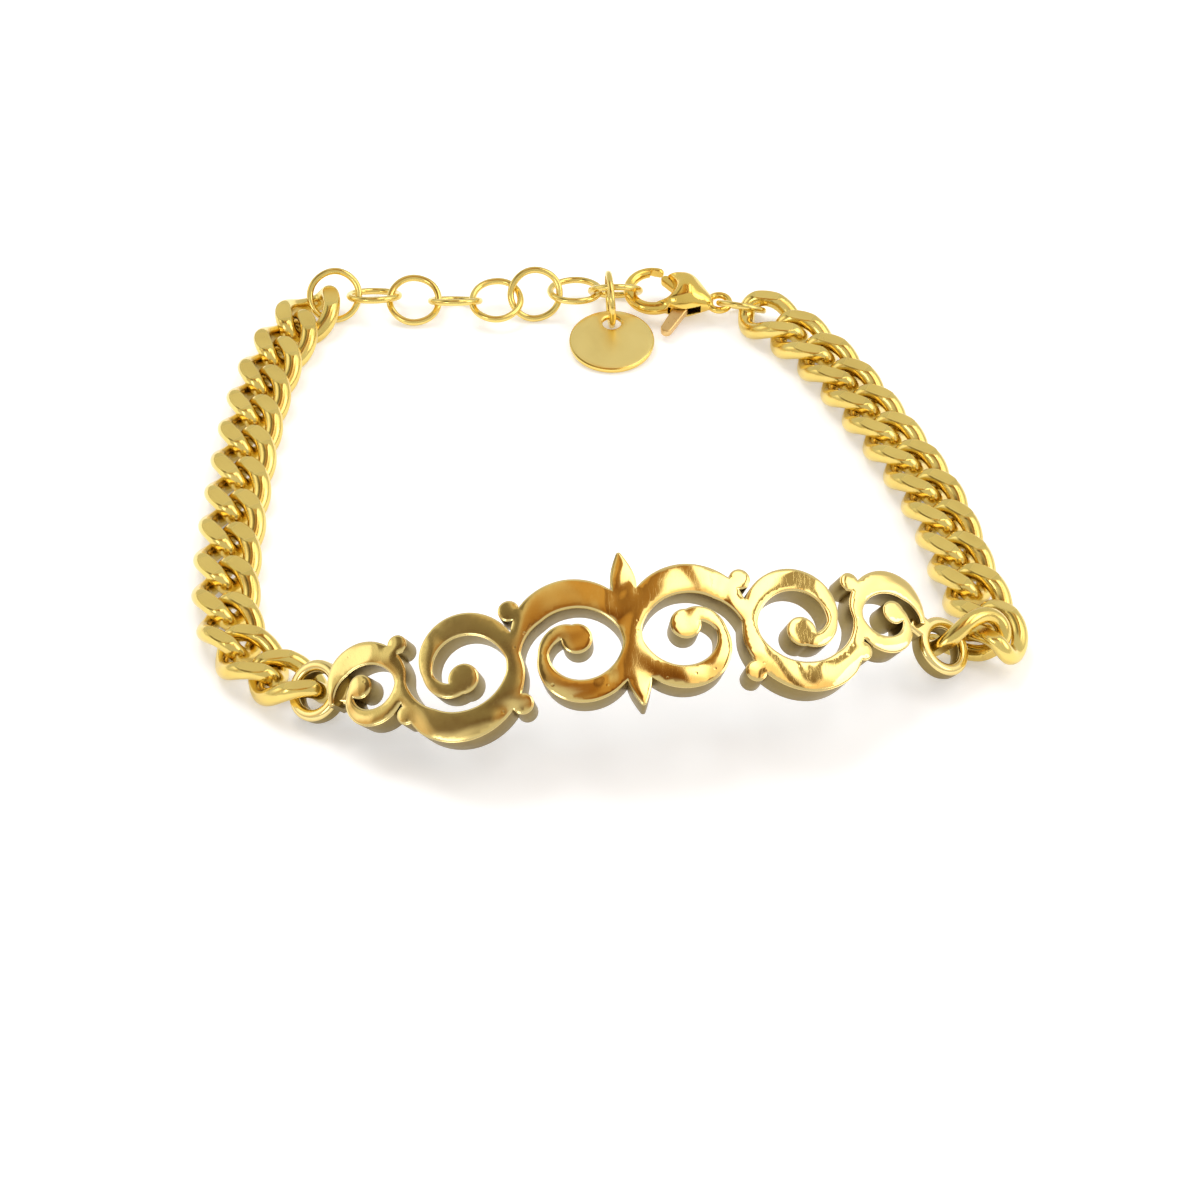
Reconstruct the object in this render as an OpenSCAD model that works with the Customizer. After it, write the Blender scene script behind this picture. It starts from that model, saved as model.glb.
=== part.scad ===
// Chain bracelet: a curb chain on each side of a bent, pierced scroll plate, closed by a
// lobster clasp that hooks into an extender of round rings with a small round tag.
// Millimetres. The bracelet lies on the plane z = 0 with the plate towards -Y.

/* [Curb chain] */
// Wire thickness of a curb link
link_wire = 1.45; // [1.35:0.05:1.45]
// Length of a curb link over its wire
link_length = 7.3; // [7.3:0.05:7.5]
// Width of the curb chain
chain_width = 5.3; // [5.3:0.05:5.5]
// Thickness between the two ground faces of the chain
chain_thickness = 2.4; // [2.3:0.05:2.6]
// Twist of a link from its middle to either end, in degrees
link_twist = 53; // [50:1:56]
// Spacing of the links in the left chain
left_pitch = 4; // [3.95:0.01:4.02]
// Spacing of the links in the right chain, which lies slack
right_pitch = 3.85; // [3.83:0.01:3.87]

/* [Scroll plate] */
// Radius of the plate's bend, at its front face
plate_bend = 46; // [44:1:48]
// Thickness of the plate
plate_thick = 2.2; // [1.8:0.1:2.2]
// Angle by which the plate tips towards the front
plate_tip = 26; // [25:1:27]
// Width of the scroll's stroke at its widest
stroke_wide = 2.3; // [2:0.1:2.5]
// Width of the scroll's stroke at its narrowest
stroke_thin = 1.3; // [1.1:0.1:1.5]

/* [Extender and rings] */
// Wire thickness of the extender rings
ring_wire = 0.58; // [0.5:0.02:0.58]
// Outside diameter of an extender ring
ring_size = 4.76; // [4.74:0.02:4.78]
// Diameter of the tag
tag_size = 7.2; // [7:0.1:7.4]
// Thickness of the tag
tag_thick = 0.5; // [0.4:0.1:0.5]

/* [Lobster clasp] */
// Thickness of the clasp's body
clasp_thick = 2.4; // [2.2:0.1:2.6]
// Thickness of the clasp's sprung lever
lever_thick = 0.7; // [0.5:0.1:0.8]

/* [Hidden] */
ROUND = 32;

function two_digits(i) = str(i < 10 ? "0" : "", i);

// The curb link: an oval of round wire, twisted about its length and ground flat on both faces.
link_sides = 6;
half_length = (link_length - link_wire) / 2;
half_width = (chain_width - link_wire) / 2;
half_thick = chain_thickness / 2;
link_steps = 16;

function oval_point(t) = [half_length * cos(t), half_width * sin(t)];
function twist_at(x) = -link_twist * x / half_length;
function twisted(p) = [p.x, p.y * cos(twist_at(p.x)), p.y * sin(twist_at(p.x))];
function upright(p) = [0, -sin(twist_at(p.x)), cos(twist_at(p.x))];
function unit(v) = v / norm(v);

oval = [for (i = [0:link_steps - 1]) oval_point(360 * (i + 0.5) / link_steps)];

function oval_tangent(i) =
    unit(twisted(oval[(i + 1) % link_steps]) - twisted(oval[(i + link_steps - 1) % link_steps]));
function oval_normal(i) =
    let (t = oval_tangent(i), n = upright(oval[i])) unit(n - (n * t) * t);
function ground_flat(p) = [p.x, p.y, max(-half_thick, min(half_thick, p.z))];
function wire_point(i, j) =
    let (n = oval_normal(i), b = cross(oval_tangent(i), n), a = 360 * (j + 0.5) / link_sides)
    ground_flat(twisted(oval[i]) + link_wire / 2 * (cos(a) * b + sin(a) * n));

link_points = [for (i = [0:link_steps - 1]) for (j = [0:link_sides - 1]) wire_point(i, j)];
function at(i, j) = (i % link_steps) * link_sides + j % link_sides;
link_faces = [
    for (i = [0:link_steps - 1]) for (j = [0:link_sides - 1])
        each [[at(i, j), at(i + 1, j + 1), at(i + 1, j)], [at(i, j), at(i, j + 1), at(i + 1, j + 1)]]
];

// The way each chain runs: one heading for each link, in degrees from +X.
left_start = [-24.9, 34.8];
left_headings = [-118, -109, -101, -96, -94, -92, -91, -91, -89, -84];
right_start = [14.76, 33.78];
right_headings = [-45.5, -54.5, -61.5, -65.5, -67.5, -67.5, -70.5, -75.5, -80.5, -80.5, -71.9];

// The last links of each chain turn and rise into the plate's eye, one row each: place,
// heading, rise and roll.
END_PLACE = 0;
END_HEADING = 1;
END_RISE = 2;
END_ROLL = 3;
left_ends = [
    [[-27.86, -4.66, 1.28], -74.2, 2.7, -3.9],
    [[-26.03, -8.16, 1.4], -49.6, 4.5, -1.5],
    [[-22.94, -10.82, 1.7], -31.9, 7.7, -4.3]
];
right_ends = [
    [[29.62, -5.48, 1.75], -81.3, 13.2, -4],
    [[27.21, -6.91, 2.48], 9.9, 7.3, -74.8]
];
left_count = len(left_headings) + len(left_ends);
right_count = len(right_headings) + len(right_ends);

function way(h) = [cos(h), sin(h)];
function link_place(start, headings, pitch, i) =
    i == 0 ? start
    : link_place(start, headings, pitch, i - 1) + pitch / 2 * (way(headings[i - 1]) + way(headings[i]));

module curb_link(place, heading, rise = 0, roll = 0)
    color([0.84, 0.74, 0.4])
        translate(place) rotate([0, 0, heading]) rotate([0, -rise, 0]) rotate([roll, 0, 0])
            polyhedron(link_points, link_faces);

module chain_link(start, headings, pitch, i) {
    place = link_place(start, headings, pitch, i);
    curb_link([place.x, place.y, half_thick], headings[i]);
}

module end_link(row)
    curb_link(row[END_PLACE], row[END_HEADING], row[END_RISE], row[END_ROLL]);

module left_link(i) {
    if (i <= len(left_headings)) chain_link(left_start, left_headings, left_pitch, i - 1);
    else end_link(left_ends[i - len(left_headings) - 1]);
}

module right_link(i) {
    if (i <= len(right_headings)) chain_link(right_start, right_headings, right_pitch, i - 1);
    else end_link(right_ends[i - len(right_headings) - 1]);
}

// The scroll plate: scrolls laid out flat along U with height W, then bent round the wrist.
plate_place = [3.1, -18.4, 7.15];
plate_yaw = 10;
plate_roll = -3;
plate_arc = 72;
plate_reach = 14;

// The left half's scrolls, one row each: centre along U, centre height, radius, 1 to pass over
// or -1 under, and how far it winds, in degrees. The right half mirrors them.
SCROLL_U = 0;
SCROLL_W = 1;
SCROLL_R = 2;
SCROLL_WAY = 3;
SCROLL_WIND = 4;
scrolls = [
    [-20, 5.2, 2.87, 1, 410],
    [-12.8, 5, 4.3, -1, 470],
    [-4.25, 4.7, 4.25, 1, 470]
];
scroll_step = 16;
scroll_start = -6;
scroll_pull = 0.0024;
bulb_set_in = 0.3;
// One row for each bud in a notch of the left half: place along U, height and diameter
buds = [[-17.1, 8, 1.5], [-17.1, 2.6, 1.5], [-8.5, 8.5, 1.6], [-8.5, 1.4, 1.6]];
// One row for each leaf at the middle: root height, angle from upright, length and width
leaves = [[7.2, 0, 4.6, 1.9], [3.8, 180, 4.3, 1.8]];
leaf_steps = 6;
// One row for each end eye: centre along U, centre height and the way its neck runs, in degrees
eyes = [[-24.7, 6.9, -20], [25.2, 3.6, 142]];
eye_thick = 1.5;
eye_bore = 2.8;
eye_rim = 0.95;
neck_length = 3.4;
neck_width = 1.8;

// A scroll keeps its radius over its first half turn, then winds in to its bulb.
function wind(k, a) =
    scrolls[k][SCROLL_R] * (1 - scroll_pull * max(0, a - 165) * 450 / (scrolls[k][SCROLL_WIND] - 20));
function scroll_point(k, a, side = 0) =
    let (r = wind(k, a) + side)
    [scrolls[k][SCROLL_U] - r * cos(a), scrolls[k][SCROLL_W] + scrolls[k][SCROLL_WAY] * r * sin(a)];
// A smaller scroll has a finer stroke.
function stroke_scale(k) = 0.4 + 0.6 * scrolls[k][SCROLL_R] / 4.3;
// The stroke starts thin inside its neighbour, swells over and under, and thins towards its bulb.
function stroke_at(k, a) =
    (stroke_thin + (stroke_wide - stroke_thin) * abs(sin(a))) * stroke_scale(k)
    * min(1, 0.45 + a / 90) * (1 - 0.5 * max(0, a - 90) / (scrolls[k][SCROLL_WIND] - 90));

module scroll(k) {
    last = scrolls[k][SCROLL_WIND];
    steps = round((last - scroll_start) / scroll_step);
    angles = [for (i = [0:steps]) scroll_start + (last - scroll_start) * i / steps];
    outer = [for (a = angles) scroll_point(k, a, stroke_at(k, a) / 2)];
    inner = [for (i = [steps:-1:0]) scroll_point(k, angles[i], -stroke_at(k, angles[i]) / 2)];
    polygon(concat(outer, inner));
    translate(scroll_point(k, last, -bulb_set_in))
        circle(d = stroke_wide * stroke_scale(k), $fn = 24);
}

module bud(k)
    translate([buds[k][0], buds[k][1]]) circle(d = buds[k][2], $fn = 16);

module leaf(k) {
    side = [for (i = [0:leaf_steps]) [leaves[k][3] / 2 * sin(180 * pow(i / leaf_steps, 0.8)), leaves[k][2] * i / leaf_steps]];
    translate([0, leaves[k][0]]) rotate(leaves[k][1])
        polygon(concat(side, [for (i = [leaf_steps - 1:-1:1]) [-side[i].x, side[i].y]]));
}

module eye(k)
    translate([eyes[k][0], eyes[k][1]])
        difference() {
            union() {
                circle(d = eye_bore + 2 * eye_rim, $fn = 40);
                rotate(eyes[k][2]) translate([0, -neck_width / 2]) square([neck_length, neck_width]);
            }
            circle(d = eye_bore, $fn = 28);
        }

module raise(u)
    rotate([0, u / plate_bend * 180 / PI, 0])
        translate([-u, 0, plate_bend - plate_thick * 1.5])
            linear_extrude(height = plate_thick * 2) children();

module bent_slab(thick)
    rotate([90, 0, 0])
        rotate([0, 0, 90 - plate_arc / 2])
            rotate_extrude(angle = plate_arc, $fn = 96)
                translate([plate_bend - plate_thick, -plate_reach])
                    square([thick, 2 * plate_reach]);

module ornament() {
    for (k = [0:len(scrolls) - 1]) {
        raise(scrolls[k][SCROLL_U]) scroll(k);
        raise(-scrolls[k][SCROLL_U]) mirror([1, 0]) scroll(k);
    }
    for (k = [0:len(buds) - 1]) {
        raise(buds[k][0]) bud(k);
        raise(-buds[k][0]) mirror([1, 0]) bud(k);
    }
    raise(0) for (k = [0:len(leaves) - 1]) leaf(k);
}

module scroll_plate()
    color([0.9, 0.78, 0.42])
        translate(plate_place) rotate([0, 0, plate_yaw]) rotate([plate_tip, 0, 0]) rotate([0, plate_roll, 0])
            translate([0, 0, -plate_bend])
                union() {
                    intersection() {
                        bent_slab(plate_thick);
                        ornament();
                    }
                    intersection() {
                        bent_slab(eye_thick);
                        for (k = [0, 1]) raise(eyes[k][0]) eye(k);
                    }
                }

// The extender: each ring's centre and how far its axis leans, positive away from the front.
RING_PLACE = 0;
RING_LEAN = 1;
rings = [
    [[-22.75, 36.62, 1.82], -46.1],
    [[-19.39, 37.12, 1.43], 25.6],
    [[-15.92, 36.54, 1.39], -29],
    [[-12.4, 36.26, 1.51], 33.1],
    [[-8.88, 36.32, 1.55], -13.6],
    [[-5.55, 36.8, 1.83], -47],
    [[-2.16, 37.38, 1.76], 10.3],
    [[1.31, 37.3, 1.8], 45.7]
];
ring_radius = (ring_size - ring_wire) / 2;

module wire_ring(radius, wire)
    rotate_extrude($fn = ROUND) translate([radius, 0]) circle(d = wire, $fn = 16);

module extender_ring(i)
    color([0.85, 0.73, 0.36])
        translate(rings[i - 1][RING_PLACE]) rotate([-rings[i - 1][RING_LEAN], 0, 0])
            wire_ring(ring_radius, ring_wire);

// The tag hangs from its ring on the extender's last ring and lies towards the front.
tag_place = [1, 31.65, 0.69];
tag_lean = 6.5;
tag_hole = 1.6;
tag_hole_in = 1.5;
tag_ring_place = [0.86, 35.16, 2.5];

module tag()
    color([0.88, 0.8, 0.46])
        translate(tag_place) rotate([tag_lean, 0, 0])
            translate([0, 0, -tag_thick / 2])
                difference() {
                    cylinder(d = tag_size, h = tag_thick, $fn = 64);
                    translate([0, tag_size / 2 - tag_hole_in, -1])
                        cylinder(d = tag_hole, h = tag_thick + 2, $fn = ROUND);
                }

module tag_ring()
    color([0.8, 0.66, 0.3])
        translate(tag_ring_place) rotate([0, 0, 5]) rotate([0, 89, 0]) wire_ring(2.2, 0.55);

// The lobster clasp, in its own frame: X along it towards the eye, Y across it.
clasp_place = [6.75, 37.29, 1.72];
clasp_lean = 12;
hook_centre = [-2.2, 0.15];
hook_radius = 2.05;
hook_wire = 1.1;
hook_from = 74;
hook_arc = 222;
body_head = [0.15, -0.35];
body_head_r = 2.05;
body_tail = [2.1, -1.15];
body_tail_r = 0.8;
eye_place = [3.45, -1.25];
eye_radius = 0.85;
eye_wire = 0.6;
pivot = [0.25, 0.35];
pin_r = 0.4;
pin_gap = 0.05;
slot_gap = 0.12;
lever_hub_r = 0.8;
nose_tip = [-1.1, 1.2];
nose_r = 0.4;
tail_root = [0.15, -2.1];
tail_root_r = 0.6;
tab_tip = [-1.1, -4.3];
tab_r = 0.5;
// The lever's room inside the body, from its hub out past the nose and out past the tail
nose_room = [[0.25, 1.3], [-2.4, 2.2], [-2.6, 0], [0.25, -0.6]];
tail_room = [[-0.6, 0.35], [-0.7, -1.6], [-1.3, -3], [2.1, -3], [1.25, 0.35]];
// Each layer of the body's rounded edge: how far it is set in, and its thickness
body_layers = [[0, clasp_thick - 1.1], [0.25, clasp_thick - 0.4], [0.6, clasp_thick]];

module in_clasp()
    translate(clasp_place) rotate([clasp_lean, 0, 0]) children();

module clasp_outline()
    difference() {
        hull() {
            translate(body_head) circle(r = body_head_r, $fn = 48);
            translate(body_tail) circle(r = body_tail_r, $fn = ROUND);
        }
        translate(hook_centre) circle(r = hook_radius - 0.3, $fn = 48);
    }

module lever_room()
    linear_extrude(height = lever_thick + 2 * slot_gap, center = true) {
        polygon(nose_room);
        polygon(tail_room);
        translate(pivot) circle(r = lever_hub_r + slot_gap, $fn = ROUND);
    }

module clasp_body()
    color([0.88, 0.74, 0.36])
        in_clasp() {
            difference() {
                union() {
                    for (layer = body_layers)
                        linear_extrude(height = layer[1], center = true)
                            offset(r = -layer[0]) clasp_outline();
                    translate(hook_centre)
                        rotate([0, 0, hook_from])
                            rotate_extrude(angle = hook_arc, $fn = 48)
                                translate([hook_radius, 0]) circle(d = hook_wire, $fn = 16);
                    translate(eye_place) wire_ring(eye_radius, eye_wire);
                }
                lever_room();
            }
            translate(pivot)
                cylinder(r = pin_r, h = clasp_thick - 0.6, center = true, $fn = ROUND);
        }

module lever_arm(from_point, from_r, to_point, to_r)
    hull() {
        translate(from_point) circle(r = from_r, $fn = ROUND);
        translate(to_point) circle(r = to_r, $fn = ROUND);
    }

module clasp_lever()
    color([0.8, 0.62, 0.28])
        in_clasp()
            difference() {
                linear_extrude(height = lever_thick, center = true) {
                    lever_arm(pivot, lever_hub_r, nose_tip, nose_r);
                    lever_arm(pivot, lever_hub_r, tail_root, tail_root_r);
                    lever_arm(tail_root, tail_root_r, tab_tip, tab_r);
                }
                translate(pivot)
                    cylinder(r = pin_r + pin_gap, h = lever_thick + 1, center = true, $fn = ROUND);
            }

clasp_ring_place = [12.06, 35.38, 1.56];

module clasp_ring()
    color([0.8, 0.66, 0.3])
        translate(clasp_ring_place) rotate([141, 0, -15.9]) wire_ring(1.95, 0.52);

// The middle of the whole bracelet as laid out above, moved to the origin.
middle = [0.42, 10.03, 0];
module at_rest() translate(-middle) children();

at_rest() scroll_plate();
at_rest() clasp_body();
at_rest() clasp_lever();
at_rest() clasp_ring();
at_rest() tag_ring();
at_rest() tag();
for (i = [1:len(rings)])
    at_rest() extender_ring(i);
for (i = [1:left_count])
    at_rest() left_link(i);
for (i = [1:right_count])
    at_rest() right_link(i);
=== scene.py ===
# Looks of the chain bracelet: gold-plated curb links, pierced scroll plate, clasp, rings and tag.
# Shapes are worked out in millimetres in the same layout as the part, then moved to its frame in metres.
import math

import bpy
import numpy as np
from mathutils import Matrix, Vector, geometry


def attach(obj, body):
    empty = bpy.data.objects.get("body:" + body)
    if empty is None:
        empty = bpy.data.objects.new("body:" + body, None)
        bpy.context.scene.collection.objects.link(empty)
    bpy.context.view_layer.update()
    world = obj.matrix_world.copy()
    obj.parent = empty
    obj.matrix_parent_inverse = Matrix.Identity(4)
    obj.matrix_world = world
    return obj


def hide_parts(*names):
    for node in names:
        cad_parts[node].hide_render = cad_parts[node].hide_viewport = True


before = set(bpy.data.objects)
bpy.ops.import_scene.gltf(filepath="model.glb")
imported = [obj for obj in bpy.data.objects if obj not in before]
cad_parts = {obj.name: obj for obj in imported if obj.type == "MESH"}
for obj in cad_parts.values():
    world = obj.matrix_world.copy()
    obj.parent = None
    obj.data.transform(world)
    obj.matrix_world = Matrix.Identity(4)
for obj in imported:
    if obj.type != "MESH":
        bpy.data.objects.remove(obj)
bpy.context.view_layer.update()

# One millimetre in metres, and the layout's point that is the frame's origin
MM = 0.001
MIDDLE = np.array([0.42, 10.03, 0.0])


# Placing

def turn(axis, degrees):
    """Rotation matrix about X, Y or Z, given as 0, 1 or 2."""
    c, s = math.cos(math.radians(degrees)), math.sin(math.radians(degrees))
    m = np.eye(3)
    i, j = (axis + 1) % 3, (axis + 2) % 3
    m[i, i], m[j, j] = c, c
    m[i, j], m[j, i] = -s, s
    return m


def placed(points, at, *turns):
    """Points turned by each rotation, the last one first, and moved to their place, in metres."""
    m = np.eye(3)
    for axis, degrees in turns:
        m = m @ turn(axis, degrees)
    return (points @ m.T + np.array(at) - MIDDLE) * MM


def grid_faces(rows, columns):
    """Quads of a tube that closes on itself both ways."""
    faces = []
    for i in range(rows):
        k = (i + 1) % rows
        for j in range(columns):
            n = (j + 1) % columns
            faces.append((i * columns + j, k * columns + j, k * columns + n, i * columns + n))
    return faces


def volume(points, faces):
    """Signed volume, to tell which way the faces look."""
    total = 0.0
    for face in faces:
        a = points[face[0]]
        for k in range(1, len(face) - 1):
            b = points[face[k]]
            c = points[face[k + 1]]
            total += (
                a[0] * (b[1] * c[2] - b[2] * c[1])
                + a[1] * (b[2] * c[0] - b[0] * c[2])
                + a[2] * (b[0] * c[1] - b[1] * c[0])
            )
    return total / 6


def add_piece(node, points, faces, zones, materials, body="bracelet", sharp=None, normals=None):
    """A mesh that stands for a CAD node, with one material for each zone of its faces.
    Sharp is the least angle, in degrees, at which an edge stays crisp."""
    name = f"{node}_gold"
    mesh = bpy.data.meshes.new(name)
    places = np.asarray(points, float).tolist()
    if volume(places, faces) < 0:
        faces = [tuple(reversed(face)) for face in faces]
    mesh.from_pydata(places, [], faces)
    for material in materials:
        mesh.materials.append(material)
    mesh.polygons.foreach_set("material_index", np.asarray(zones, np.int32))
    mesh.polygons.foreach_set("use_smooth", np.ones(len(faces), bool))
    if sharp:
        mesh.set_sharp_from_angle(angle=math.radians(sharp))
    if normals is not None:
        mesh.normals_split_custom_set_from_vertices(normals.tolist())
    mesh.update()
    piece = bpy.data.objects.new(name, mesh)
    bpy.context.scene.collection.objects.link(piece)
    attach(piece, body)
    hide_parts(node)


# Gold materials

# How fine each pattern in the gold is, in waves for each metre
CLOUD_WAVES = 260
WIPE_WAVES = 3000
GRAIN_WAVES = 9000
WANDER_WAVES = 700
SWELL_WAVES = 170
PIT_WAVES = 900
SCRATCH_WAVES = 1500
# Each set of hair scratches is finer than the last by this
SCRATCH_WAVES_MORE = 420
# How high each pattern's relief is, in metres
GRAIN_HEIGHT = 0.000002
WANDER_HEIGHT = 0.00002
SWELL_HEIGHT = 0.001
PIT_HEIGHT = 0.000008
SCRATCH_HEIGHT = 0.000003
# How far the mottling darkens and lightens red, green and blue
MOTTLE_DARK = (1.4, 1.8, 2.4)
MOTTLE_LIGHT = (0.6, 0.8, 1.6)
# The roughness that the clouds and the wiping marks add, from their least to their most
CLOUD_ROUGH = 0.10
WIPE_ROUGH = 0.08
# The way the wiping marks run, and the turns of the three sets of hair scratches, in radians
WIPE_TURN = (0.3, 0.2, 0.5)
SCRATCH_TURNS = (0.4, 1.5, 2.6)
SCRATCH_WIDTH = 0.007
# How far the marks and the scratches are drawn out, as scales of the pattern along X, Y and Z
WIPE_STRETCH = (1, 0.12, 1)
SCRATCH_STRETCH = (1, 0.06, 1)
# Where the clouds are dark, plain and light, and where a pit ends, on their patterns' own scales
CLOUD_STOPS = (0.3, 0.52, 0.72)
PIT_STOPS = (0.05, 0.13)
# X in metres times this, plus a half, is the place on a satin table's ramp
SATIN_SPAN = 16
# An arched face's height in metres is this times the square of the distance from its middle line
ARCH = -5.0


def fill_ramp(node, stops):
    """Sets a colour ramp from a table of position and colour or grey."""
    elements = node.color_ramp.elements
    while len(elements) < len(stops):
        elements.new(0.5)
    for element, (position, colour) in zip(elements, stops):
        element.position = position
        if isinstance(colour, (int, float)):
            colour = (colour, colour, colour)
        element.color = (*colour, 1)


class Tree:
    """Short calls for building a material's nodes."""

    def __init__(self, name):
        self.material = bpy.data.materials.new(name)
        self.material.use_nodes = True
        self.nodes = self.material.node_tree.nodes
        self.links = self.material.node_tree.links
        self.shader = self.nodes["Principled BSDF"]
        self.place = self.nodes.new("ShaderNodeTexCoord").outputs["Object"]

    def link(self, source, target):
        self.links.new(source, target)

    def scaled(self, scale, spin):
        node = self.nodes.new("ShaderNodeMapping")
        node.inputs["Scale"].default_value = scale
        node.inputs["Rotation"].default_value = spin
        self.link(self.place, node.inputs["Vector"])
        return node.outputs["Vector"]

    def noise(self, vector, scale, detail, distortion=0.0):
        node = self.nodes.new("ShaderNodeTexNoise")
        node.inputs["Scale"].default_value = scale
        node.inputs["Detail"].default_value = detail
        node.inputs["Distortion"].default_value = distortion
        self.link(vector, node.inputs["Vector"])
        return node.outputs["Fac"]

    def spots(self, vector, scale):
        node = self.nodes.new("ShaderNodeTexVoronoi")
        node.inputs["Scale"].default_value = scale
        self.link(vector, node.inputs["Vector"])
        return node.outputs["Distance"]

    def maths(self, operation, *values):
        """One step of arithmetic on numbers and outputs."""
        node = self.nodes.new("ShaderNodeMath")
        node.operation = operation
        for socket, value in zip(node.inputs, values):
            if isinstance(value, (int, float)):
                socket.default_value = value
            else:
                self.link(value, socket)
        return node.outputs[0]

    def ramp(self, source, stops):
        node = self.nodes.new("ShaderNodeValToRGB")
        fill_ramp(node, stops)
        self.link(source, node.inputs["Fac"])
        return node.outputs["Color"]

    def bump(self, height, distance, before=None):
        """Relief of the height, on top of any relief before it."""
        node = self.nodes.new("ShaderNodeBump")
        node.inputs["Distance"].default_value = distance
        node.inputs["Strength"].default_value = 1.0
        self.link(height, node.inputs["Height"])
        if before is not None:
            self.link(before, node.inputs["Normal"])
        return node.outputs["Normal"]


def gold(name, colour, rough, mottle, grain, scratch, pits=0.0, wave=0.0, satin=None, dome=None):
    """Worn gold plating: mottled colour, uneven roughness, fine grain, hair scratches and small pits.
    Wave is the height of slow swells in the polish, satin adds roughness from place to place along X,
    and dome is a middle point and a direction across which the face is slightly arched."""
    t = Tree(name)
    t.shader.inputs["Metallic"].default_value = 1.0
    cloud = t.noise(t.place, CLOUD_WAVES, 4, 0.4)
    low = tuple(c * (1 - mottle * k) for c, k in zip(colour, MOTTLE_DARK))
    high = tuple(min(1, c * (1 + mottle * k)) for c, k in zip(colour, MOTTLE_LIGHT))
    t.link(t.ramp(cloud, list(zip(CLOUD_STOPS, (low, colour, high)))), t.shader.inputs["Base Color"])
    wipe = t.noise(t.scaled(WIPE_STRETCH, WIPE_TURN), WIPE_WAVES, 3)
    uneven = t.maths("MULTIPLY_ADD", cloud, CLOUD_ROUGH, rough - CLOUD_ROUGH / 2)
    roughness = t.maths("MULTIPLY_ADD", wipe, WIPE_ROUGH, uneven)
    if satin:
        split = t.nodes.new("ShaderNodeSeparateXYZ")
        t.link(t.place, split.inputs["Vector"])
        along = t.maths("MULTIPLY_ADD", split.outputs["X"], SATIN_SPAN, 0.5)
        dull = t.ramp(along, [(0.5 + SATIN_SPAN * x, more) for x, more in satin])
        roughness = t.maths("ADD", roughness, dull)
    t.link(roughness, t.shader.inputs["Roughness"])
    normal = t.bump(t.noise(t.place, GRAIN_WAVES, 2), GRAIN_HEIGHT * grain)
    normal = t.bump(t.noise(t.place, WANDER_WAVES, 1), WANDER_HEIGHT * grain, normal)
    if wave:
        normal = t.bump(t.noise(t.place, SWELL_WAVES, 1, 0.8), SWELL_HEIGHT * wave, normal)
    if dome:
        middle, across = dome
        dot = t.nodes.new("ShaderNodeVectorMath")
        dot.operation = "DOT_PRODUCT"
        dot.inputs[1].default_value = across
        t.link(t.place, dot.inputs[0])
        reach = t.maths("SUBTRACT", dot.outputs["Value"], float(np.dot(middle, across)))
        arch = t.maths("MULTIPLY", t.maths("MULTIPLY", reach, reach), ARCH)
        normal = t.bump(arch, 1.0, normal)
    for k, angle in enumerate(SCRATCH_TURNS):
        stretched = t.scaled(SCRATCH_STRETCH, (*WIPE_TURN[:2], angle))
        streak = t.noise(stretched, SCRATCH_WAVES + SCRATCH_WAVES_MORE * k, 1)
        line = t.maths("ABSOLUTE", t.maths("SUBTRACT", streak, 0.5 + 0.07 * (k - 1)))
        groove = t.ramp(line, [(0.0, 0.0), (SCRATCH_WIDTH, 1.0)])
        normal = t.bump(groove, SCRATCH_HEIGHT * scratch, normal)
    if pits:
        dots = t.ramp(t.spots(t.place, PIT_WAVES), list(zip(PIT_STOPS, (0.0, 1.0))))
        normal = t.bump(dots, PIT_HEIGHT * pits, normal)
    t.link(normal, t.shader.inputs["Normal"])
    return t.material


# Added roughness of the plate's face from place to place along X, in metres
PLATE_SATIN = ((-0.022, 0.0), (-0.016, 0.02), (-0.013, 0.16), (-0.006, 0.12), (-0.001, 0.01), (0.020, 0.0))
# The plate's middle height, in the part's frame, and the way its height runs
PLATE_DOME = ((0.0019, -0.024, 0.0093), (-0.1561, 0.8851, 0.4384))
PLATE_FACE = gold(
    "plate_face_polished", (0.90, 0.68, 0.25), 0.02, 0.04, 0.12, 0.12, 1.0,
    wave=0.45, satin=PLATE_SATIN, dome=PLATE_DOME,
)
PLATE_EDGE = gold("plate_edge_polished", (0.90, 0.71, 0.29), 0.10, 0.04, 0.5, 0.2)
# Painted shade: the walls and back of the plate and its eyes are the face's gold, given a dark base colour
# to stand in for the shade they lie in
PLATE_WALL_PAINTED_SHADE = gold("plate_wall_satin_painted_shade", (0.33, 0.245, 0.085), 0.36, 0.10, 1.6, 0.5)
LINK_FLAT = gold("link_flat_satin", (0.92, 0.69, 0.19), 0.26, 0.06, 1.3, 0.8)
LINK_WIRE = gold("link_wire_polished", (0.85, 0.65, 0.19), 0.14, 0.07, 0.6, 0.3)
RING_GOLD = gold("ring_wire_polished", (0.86, 0.66, 0.20), 0.14, 0.07, 0.6, 0.3)
CLASP_GOLD = gold("clasp_polished", (0.88, 0.62, 0.14), 0.10, 0.06, 0.6, 0.4, wave=0.3)
LEVER_TAB = gold("lever_tab_satin", (0.86, 0.60, 0.26), 0.26, 0.08, 1.2, 0.5)
TAG_FACE = gold("tag_face_satin", (0.96, 0.76, 0.27), 0.27, 0.05, 1.0, 0.6, 0.4)
TAG_RIM = gold("tag_rim_polished", (0.88, 0.65, 0.18), 0.14, 0.05, 0.5, 0.4)


# Curb links: an oval of round wire, twisted about its length and ground flat on both faces

LINK_WIRE_R = 0.74
# Links whose wire is drawn finer, where the chains turn into the plate's eyes and at the clasp's ring
FINER = {
    "left_link_11": 0.68,
    "left_link_12": 0.69,
    "left_link_13": 0.70,
    "right_link_01": 0.72,
    "right_link_12": 0.65,
    "right_link_13": 0.64,
}
LINK_HALF_LENGTH = 2.925
LINK_HALF_WIDTH = 1.925
LINK_HALF_THICK = 1.2
LINK_TWIST = 53
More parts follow.
